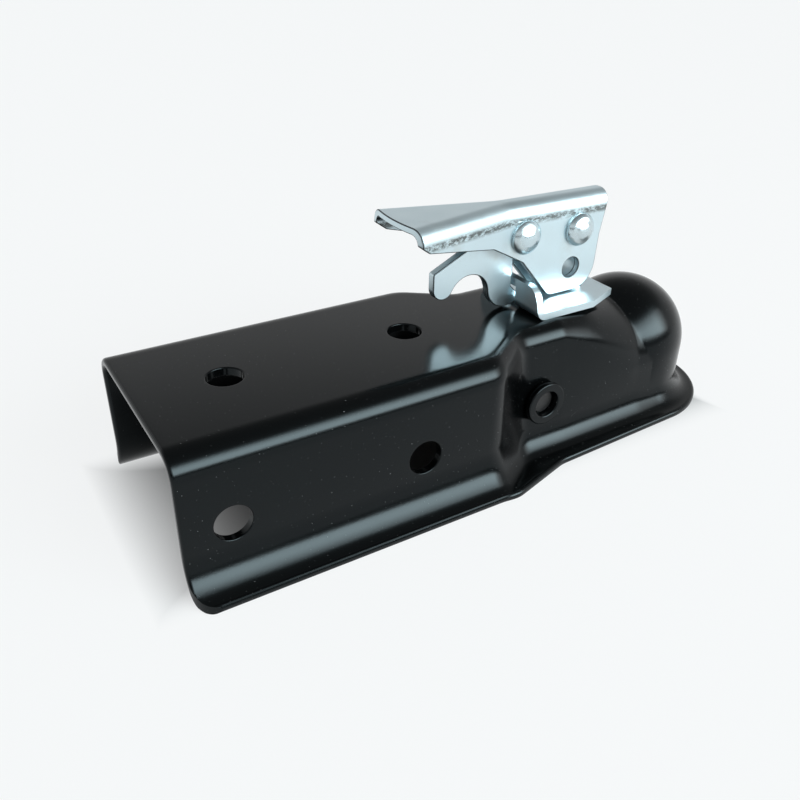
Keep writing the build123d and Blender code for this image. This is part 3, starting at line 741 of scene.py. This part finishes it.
class COUPLING_OT_rivets(bpy.types.Operator):
    """Copy the lever's two rivets with their heads spread"""

    bl_idname = "coupling.rivets"
    bl_label = "Rivets"

    def execute(self, context):
        sizes = context.scene.coupling_plated
        for node in ("pivot_rivet", "trigger_rivet"):
            low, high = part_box(node)
            piece = copied(node, "plated_" + node)
            self.spread(piece, (low + high) / 2, sizes.rivet_head / (high.z - low.z), sizes.rivet_shank)
            smooth(piece, PLATED_SMOOTH)
            dressed(piece, frame["nodes"][node]["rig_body"], "zinc", node)
        return {"FINISHED"}

    def spread(self, piece, middle, wider, shank):
        """Make the heads, which are all that lies beyond the shank, so many times as wide."""

        def heads():
            pick("VERT", lambda at: math.hypot(at.x - middle.x, at.z - middle.z) > shank)
            bpy.ops.transform.resize(value=(wider, 1, wider), center_override=middle)

        edit(piece, weld, heads)


class COUPLING_OT_bushes(bpy.types.Operator):
    """Copy the two pin bushes with their rims rounded"""

    bl_idname = "coupling.bushes"
    bl_label = "Pin bushes"

    def execute(self, context):
        rim = context.scene.coupling_plated.bush_rim
        softened("left_pin_bush", "painted_bush_left", rim, "housing", "black_paint")
        softened("right_pin_bush", "painted_bush_right", rim, "housing", "black_paint")
        return {"FINISHED"}


# Finishes

FINISHES = {}
OWN_FINISH = {
    "lever": "lever_zinc",
    "pivot_rivet": "rivet_zinc",
    "trigger_rivet": "rivet_zinc",
    "clamp_pin": "pin_zinc",
}


class Value:
    """A socket whose sums, products and powers add their own Math nodes."""

    def __init__(self, finish, socket):
        self.finish = finish
        self.socket = socket

    def maths(self, operation, *values):
        return self.finish.node("ShaderNodeMath", {"operation": operation}, dict(enumerate(values)))

    def __add__(self, other):
        return self.maths("ADD", self, other)

    def __radd__(self, other):
        return self.maths("ADD", other, self)

    def __sub__(self, other):
        return self.maths("SUBTRACT", self, other)

    def __rsub__(self, other):
        return self.maths("SUBTRACT", other, self)

    def __mul__(self, other):
        return self.maths("MULTIPLY", self, other)

    def __pow__(self, other):
        return self.maths("POWER", self, other)

    def __abs__(self):
        return self.maths("ABSOLUTE", self)

    def most(self, other):
        return self.maths("MAXIMUM", self, other)

    def part(self, axis):
        """One of a vector's three parts."""
        return self.finish.node("ShaderNodeSeparateXYZ", {}, {"Vector": self}, axis)

    def towards(self, way):
        """How far a vector reaches along a way."""
        return self.finish.node("ShaderNodeVectorMath", {"operation": "DOT_PRODUCT"}, {0: self, 1: way}, 1)


class Finish:
    """A node tree, of a material or of the world, that grows from expressions."""

    def __init__(self, owner):
        owner.use_nodes = True
        self.tree = owner.node_tree

    def node(self, kind, settings, sockets, output=0):
        """Adds a node, with its settings and what goes into its sockets, and gives one output."""
        made = self.tree.nodes.new(kind)
        for setting, value in settings.items():
            if setting == "stops":
                stops = made.color_ramp.elements
                while len(stops) < len(value):
                    stops.new(1.0)
                for stop, (place, grey) in zip(stops, value):
                    stop.position = place
                    stop.color = (grey, grey, grey, 1)
            else:
                setattr(made, setting, value)
        for socket, value in sockets.items():
            self.feed(made.inputs[socket], value)
        return Value(self, made.outputs[output])

    def feed(self, socket, value):
        if isinstance(value, Value):
            self.tree.links.new(value.socket, socket)
        elif isinstance(value, tuple) and len(value) == 3 and socket.type == "RGBA":
            socket.default_value = (*value, 1)
        else:
            socket.default_value = value

    def place(self, scale=(1, 1, 1)):
        """Object coordinates, stretched."""
        at = self.node("ShaderNodeTexCoord", {}, {}, "Object")
        if scale == (1, 1, 1):
            return at
        return self.node("ShaderNodeMapping", {}, {"Vector": at, "Scale": scale})

    def noise(self, scale, detail=2.0, stretch=(1, 1, 1), roughness=0.5):
        values = {"Vector": self.place(stretch), "Scale": scale, "Detail": detail, "Roughness": roughness}
        return self.node("ShaderNodeTexNoise", {}, values)

    def band(self, value, start, end, between="SMOOTHSTEP"):
        """0 before the start, 1 past the end, smooth or linear between. The start may be the higher of the two."""
        settings = {"interpolation_type": between, "clamp": True}
        return self.node("ShaderNodeMapRange", settings, {"Value": value, "From Min": start, "From Max": end})

    def mix(self, amount, first, second):
        """The first colour, with an amount of the second."""
        return self.node("ShaderNodeMix", {"data_type": "RGBA"}, {0: amount, 6: first, 7: second}, 2)

    def bump(self, height, distance, strength):
        return self.node("ShaderNodeBump", {}, {"Height": height, "Distance": distance, "Strength": strength})

    def shade(self, **sockets):
        """Feeds the material's own shader."""
        shader = self.tree.nodes["Principled BSDF"]
        for socket, value in sockets.items():
            self.feed(shader.inputs[socket.replace("_", " ")], value)


def black_paint(finish, colours):
    """Gloss black paint with a fine skin and a little dust."""
    skin = finish.noise(900, 2)
    drift = finish.noise(60, 3)
    dust = finish.band(finish.noise(1500, 1), 0.76, 0.79)
    finish.shade(
        Base_Color=finish.mix(dust * 0.3, tuple(colours.paint), tuple(colours.dust)),
        Roughness=0.14 + drift * 0.08 + dust * 0.3,
        Metallic=0.0,
        IOR=1.3,
        Specular_Tint=tuple(colours.gloss),
        Normal=finish.bump(skin, 0.03 * MM, 0.4),
    )


def plating(finish, colours, dull, grit):
    """Bright zinc plating with rolled lines, cloudy patches, a few stains, given dark marks, and painted shade on its
    rounded edges.
    """
    cloud = finish.noise(130, 4)
    fine = finish.noise(1400, 3)
    rolled = finish.noise(500, 2, (0.06, 1, 1))
    stain = finish.band(finish.noise(45, 4), 0.56, 0.74)
    sheared = finish.node("ShaderNodeAttribute", {"attribute_name": PAINTED_EDGE_SHADE}, {}, "Fac")
    clean = finish.mix(stain * 0.45, tuple(colours.zinc), tuple(colours.zinc_stain))
    # Painted shade: the rounded edges are darkened.
    edge_shaded = finish.mix(sheared * 0.9, clean, tuple(colours.sheared))
    finish.shade(
        Base_Color=finish.mix(grit, edge_shaded, tuple(colours.grit)),
        Metallic=1.0,
        Roughness=dull + cloud * 0.14 + stain * 0.1 + grit * 0.2 + sheared * 0.1,
        Normal=finish.bump(fine * 0.5 + rolled * 0.5, 0.04 * MM, 0.4),
    )


def specks(finish, strength):
    """Fine dark specks in the plating."""
    return finish.band(finish.noise(2600, 2), 0.7, 0.8) * strength


def zinc(finish, colours):
    """The plating of flat and folded sheet."""
    plating(finish, colours, 0.28, specks(finish, 0.5))


def lever_zinc(finish, colours):
    """The lever's plating, with dark crumbly marks where the sheet is folded down."""
    top, fall = 74.1 * MM, 0.0157  # the lever's top above the ball's centre, and its fall going forward
    upper, lower = (4.8 * MM, 6.4 * MM), (7.2 * MM, 9.4 * MM)  # where the cracks begin and end, below the top
    # where the dark marks along the fold begin and end, below the top
    at = finish.place()
    below_top = top - at.part("X") * fall - at.part("Z")
    fold = finish.band(below_top, *upper) * (1 - finish.band(below_top, *lower))
    crumbs = finish.band(finish.noise(800, 6, (0.5, 1, 1), 0.75), 0.36, 0.56) * 0.85
    plating(finish, colours, 0.3, (fold * crumbs).most(specks(finish, 0.5)))


def rivet_zinc(finish, colours):
    """The smooth plating of a formed rivet head."""
    plating(finish, colours, 0.17, specks(finish, 0.4))


def pin_zinc(finish, colours):
    """Plating that turns dark and not metallic at the pin's two ends."""
    paint = (29 * MM, 29.5 * MM)  # where the dark ends begin, from the middle
    end = finish.band(abs(finish.place().part("Y")), *paint)
    finish.shade(
        Base_Color=finish.mix(end, tuple(colours.zinc), tuple(colours.pin_paint)),
        Metallic=1 - end,
        Roughness=0.3 + finish.noise(700, 3) * 0.2,
    )


def cast_clamp(finish, colours):
    """Dark cast iron with a grainy skin."""
    grain = finish.noise(900, 4)
    finish.shade(
        Base_Color=finish.mix(grain, tuple(colours.iron), tuple(colours.iron_grain)),
        Metallic=0.7,
        Roughness=0.5 + grain * 0.2,
        Normal=finish.bump(grain, 0.3 * MM, 0.6),
    )


def spring_steel(finish, colours):
    """Oiled spring wire."""
    cloud = finish.noise(300, 3)
    finish.shade(
        Base_Color=finish.mix(cloud, tuple(colours.spring), tuple(colours.spring_cloud)),
        Metallic=1.0,
        Roughness=0.3 + cloud * 0.15,
    )


def nylon(finish, colours):
    """Moulded nylon."""
    cloud = finish.noise(400, 2)
    finish.shade(
        Base_Color=finish.mix(cloud, tuple(colours.nylon), tuple(colours.nylon_cloud)),
        Roughness=0.4 + cloud * 0.1,
    )


class COUPLING_OT_finishes(bpy.types.Operator):
    """Make the finishes and give them to the solids"""

    bl_idname = "coupling.finishes"
    bl_label = "Finishes"

    def execute(self, context):
        colours = context.scene.coupling_colours
        recipes = (black_paint, zinc, lever_zinc, rivet_zinc, pin_zinc, cast_clamp, spring_steel, nylon)
        for recipe in recipes:
            material = bpy.data.materials.new(recipe.__name__)
            recipe(Finish(material), colours)
            FINISHES[recipe.__name__] = material
        for part in frame["record"]["subparts"]:
            solid = frame["nodes"][part["node"]]
            solid.data.materials.clear()
            solid.data.materials.append(FINISHES[OWN_FINISH.get(part["node"], part["material_slot"])])
        return {"FINISHED"}


# Stage

ROOM_GREYS = [(0.0, 0.85), (0.42, 0.75), (0.58, 0.38), (0.75, 0.26), (1.0, 0.22)]  # by height, from eye level up


class COUPLING_OT_stage(bpy.types.Operator):
    """Set the table, the lamp, the room and the camera"""

    bl_idname = "coupling.stage"
    bl_label = "Stage"

    def execute(self, context):
        stage, colours = context.scene.coupling_stage, context.scene.coupling_colours
        context.scene.view_settings.view_transform = "Standard"
        self.table(stage, colours)
        self.lamp(stage)
        self.room(context.scene, stage, colours)
        self.camera(context.scene, stage)
        return {"FINISHED"}

    def table(self, stage, colours):
        """A white table, partly aglow for what sees it, with a painted shadow below the part."""
        bpy.ops.object.select_all(action="DESELECT")
        bpy.ops.mesh.primitive_plane_add(size=stage.floor_size, location=(0, 0, HOUSING_LOW.z - stage.floor_gap))
        floor = named("table")
        settled(floor)
        material = bpy.data.materials.new("table_white")
        finish = Finish(material)
        shader = finish.tree.nodes["Principled BSDF"]
        at = finish.place()
        along, side = at.part("X"), at.part("Y")
        # Painted shadow: the table turns dark and loses its glow below the part, inside the channel and past its rear
        # mouth.
        mouth = finish.band(along, *stage.floor_mouth, "LINEAR") ** stage.mouth_power
        sides = finish.band(side, *stage.floor_near).most(finish.band(side, *stage.floor_far))
        lit = sides.most(finish.band(along, *stage.floor_front)).most(mouth)
        white = tuple(colours.floor)
        matt = tuple(stage.floor_matt * c for c in white)
        finish.shade(
            Base_Color=finish.mix(lit, tuple(colours.floor_dark), matt), Roughness=0.85, Specular_IOR_Level=0.1
        )
        seen = self.seen(finish) * lit
        glow = finish.node("ShaderNodeEmission", {}, {"Color": white, "Strength": 1.0})
        both = finish.node(
            "ShaderNodeMixShader", {}, {0: seen * stage.floor_glow, 1: Value(finish, shader.outputs[0]), 2: glow}
        )
        finish.feed(finish.tree.nodes["Material Output"].inputs["Surface"], both)
        floor.data.materials.append(material)

    def seen(self, finish):
        """1 for rays that show the background: from the camera, in gloss or through glass."""
        kinds = ("Is Camera Ray", "Is Glossy Ray", "Is Transmission Ray")
        camera, gloss, through = (finish.node("ShaderNodeLightPath", {}, {}, kind) for kind in kinds)
        return camera.most(gloss).most(through)

    def key_axes(self, stage):
        """Directions beside, above and towards the lamp, as seen from the part."""
        turn, lift = stage.key_turn, stage.key_lift
        flat, steep = math.cos(lift), math.sin(lift)
        beside = Vector((-math.sin(turn), math.cos(turn), 0))
        above = Vector((-steep * math.cos(turn), -steep * math.sin(turn), flat))
        front = Vector((flat * math.cos(turn), flat * math.sin(turn), steep))
        return beside, above, front

    def lamp(self, stage):
        front = self.key_axes(stage)[2]
        bpy.ops.object.light_add(type="AREA", location=front * stage.key_reach)
        lamp = bpy.context.object
        lamp.name = "key_lamp"
        lamp.data.shape = "RECTANGLE"
        lamp.data.size = stage.key_width
        lamp.data.size_y = stage.key_height
        lamp.data.energy = stage.key_power
        lamp.rotation_euler = front.to_track_quat("Z", "Y").to_euler()

    def window(self, finish, aim, stage):
        """1 low in a wide window behind the lamp, with a sharp sill, fading to the other edges."""
        across, rise, before = (aim.towards(way) for way in self.key_axes(stage))
        wide = 1 - finish.band(abs(across), *stage.window_side)
        high = finish.band(rise, *stage.window_sill) * (1 - finish.band(rise, *stage.window_head))
        return wide * high * finish.band(before, *stage.window_front)

    def room(self, scene, stage, colours):
        """A room that is pale at eye level and greyer overhead, with one window and a dark gap below it."""
        world = bpy.data.worlds.new("room")
        scene.world = world
        finish = Finish(world)
        aim = finish.node("ShaderNodeTexCoord", {}, {}, "Generated")
        height = aim.part("Z")
        shade = finish.node("ShaderNodeValToRGB", {"stops": ROOM_GREYS}, {0: height})
        gap = finish.band(aim.towards(stage.gap_way), *stage.gap_side) * (1 - finish.band(height, *stage.gap_head))
        shade = finish.mix(gap, shade, tuple(colours.gap))
        bright = tuple(stage.window_glow * c for c in stage.window_tint)
        shade = finish.mix(self.window(finish, aim, stage), shade, bright)
        camera = finish.node("ShaderNodeLightPath", {}, {}, "Is Camera Ray")
        sky = finish.mix(camera, shade, tuple(colours.backdrop))
        finish.feed(finish.tree.nodes["Background"].inputs["Color"], sky)

    def camera(self, scene, stage):
        aim, up = Vector(stage.aim).normalized(), Vector(stage.camera_up).normalized()
        right = aim.cross(up)
        turn = Matrix((right, up, -aim)).transposed()
        bpy.ops.object.camera_add(location=stage.camera, rotation=turn.to_euler())
        camera = bpy.context.object
        camera.data.sensor_fit = "HORIZONTAL"
        camera.data.sensor_width = 36.0
        camera.data.lens = stage.lens
        camera.data.clip_start = 0.01
        scene.camera = camera


STEPS = (
    COUPLING_OT_finishes,
    COUPLING_OT_housing,
    COUPLING_OT_plated,
    COUPLING_OT_rivets,
    COUPLING_OT_bushes,
    COUPLING_OT_stage,
)
GROUPS = {
    "coupling_housing": CouplingHousingSizes,
    "coupling_plated": CouplingPlatedSizes,
    "coupling_colours": CouplingColours,
    "coupling_stage": CouplingStage,
}


class COUPLING_PT_panel(bpy.types.Panel):
    """Sizes, colours and steps of the coupling head"""

    bl_idname = "COUPLING_PT_panel"
    bl_label = "Coupling head"
    bl_space_type = "VIEW_3D"
    bl_region_type = "UI"
    bl_category = "Coupling"

    def draw(self, context):
        for step in STEPS:
            self.layout.operator(step.bl_idname)
        for group in GROUPS:
            box = self.layout.box()
            held = getattr(context.scene, group)
            for name in held.bl_rna.properties.keys():
                if name not in {"rna_type", "name"}:
                    box.prop(held, name)


def register():
    for kind in (*GROUPS.values(), *STEPS, COUPLING_PT_panel):
        bpy.utils.register_class(kind)
    for name, kind in GROUPS.items():
        setattr(bpy.types.Scene, name, PointerProperty(type=kind))


def unregister():
    for name in GROUPS:
        delattr(bpy.types.Scene, name)
    for kind in reversed((*GROUPS.values(), *STEPS, COUPLING_PT_panel)):
        bpy.utils.unregister_class(kind)


def main():
    register()
    bpy.ops.coupling.finishes()
    bpy.ops.coupling.housing()
    bpy.ops.coupling.plated()
    bpy.ops.coupling.rivets()
    bpy.ops.coupling.bushes()
    bpy.ops.coupling.stage()


if __name__ == "__main__":
    main()
